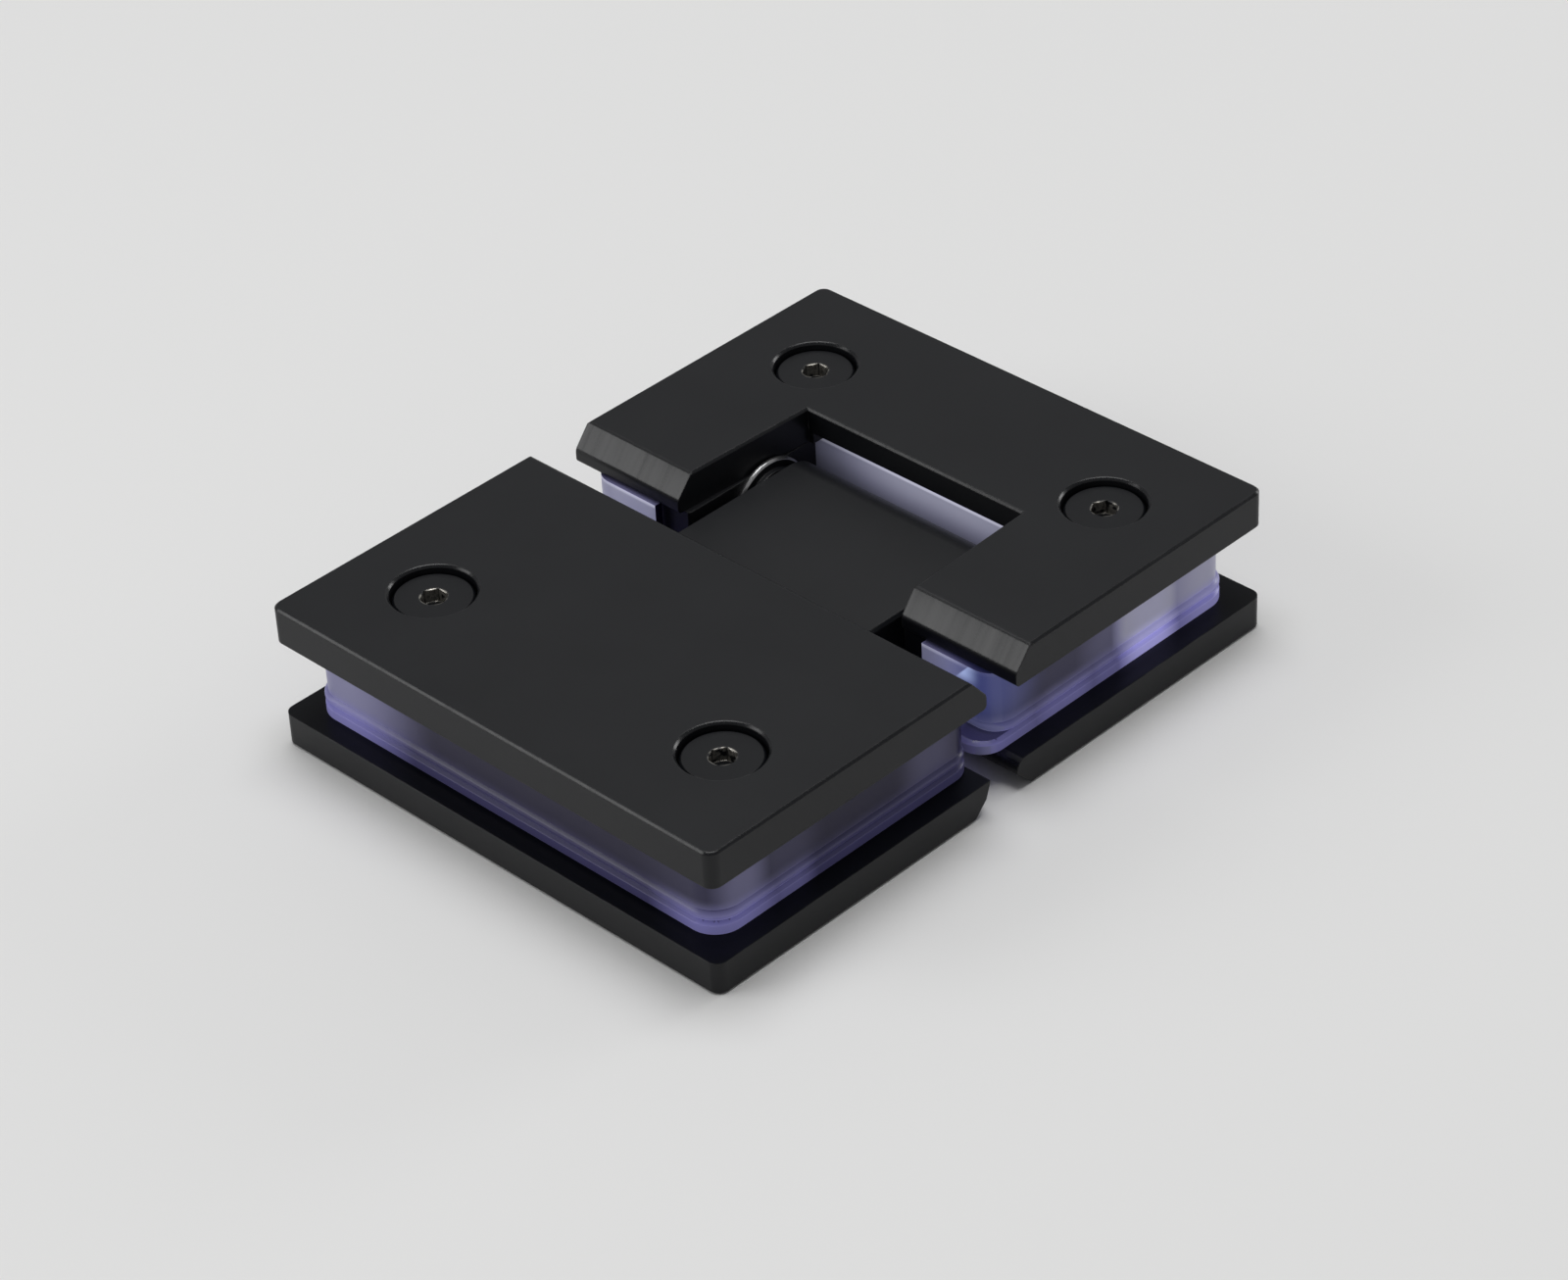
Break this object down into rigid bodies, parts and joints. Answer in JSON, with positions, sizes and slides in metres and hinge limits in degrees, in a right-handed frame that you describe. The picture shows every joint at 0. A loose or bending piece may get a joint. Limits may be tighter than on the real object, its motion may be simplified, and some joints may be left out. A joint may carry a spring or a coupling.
{
  "type": "glass door hinge",
  "caption": "Matt black glass-to-glass door hinge with a sprung pivot block, in-line leaves and gaskets.",
  "frame": {"origin": "middle of the back face of the closed hinge, on the line between the leaves", "axes": "+X across the hinge to the swinging leaf, +Y along the pivot axis, +Z out of the front face"},
  "size_m": [0.116, 0.09, 0.0245],
  "materials": {
    "black_coat": "satin",
    "black_block": "satin",
    "black_screw": "satin",
    "gasket_rubber": "satin",
    "steel": "satin",
    "polished_washer": "gloss",
    "bush_plastic": "matte"
  },
  "bodies": {
    "fixed_leaf": {"front_plate_fixed": "black_coat", "back_plate_fixed": "black_coat", "back_gasket_fixed": "gasket_rubber", "middle_gasket_fixed": "gasket_rubber", "front_gasket_fixed": "gasket_rubber", "clamp_screws_fixed": "black_screw", "pivot_block": "black_block", "block_screws": "black_screw", "pin_bush_upper": "bush_plastic", "pin_bush_lower": "bush_plastic", "adjusting_screw_upper": "black_screw", "adjusting_screw_lower": "black_screw", "detent_spring_upper": "steel", "detent_spring_lower": "steel"},
    "swing_leaf": {"front_plate_swing": "black_coat", "back_plate_swing": "black_coat", "back_gasket_swing": "gasket_rubber", "middle_gasket_swing": "gasket_rubber", "front_gasket_swing": "gasket_rubber", "clamp_screws_swing": "black_screw", "pin_lug_upper": "black_block", "pin_lug_lower": "black_block", "pivot_pin": "steel", "thrust_washer_upper": "polished_washer", "thrust_washer_lower": "polished_washer", "lug_screws": "black_screw", "pin_set_screws": "black_screw"},
    "plunger_upper": {"detent_plunger_upper": "steel"},
    "plunger_lower": {"detent_plunger_lower": "steel"}
  },
  "joints": [
    {"name": "leaf_swing", "type": "hinge", "parent": "fixed_leaf", "child": "swing_leaf", "pos_m": [0.021, 0, 0.012], "axis": [0, 1, 0], "range_deg": [-90, 90]},
    {"name": "plunger_upper_slide", "type": "slide", "parent": "fixed_leaf", "child": "plunger_upper", "axis": [1, 0, 0], "range_m": [0, 0.00085], "deforming": ["detent_spring_upper"]},
    {"name": "plunger_lower_slide", "type": "slide", "parent": "fixed_leaf", "child": "plunger_lower", "axis": [1, 0, 0], "range_m": [0, 0.00085], "deforming": ["detent_spring_lower"]}
  ]
}
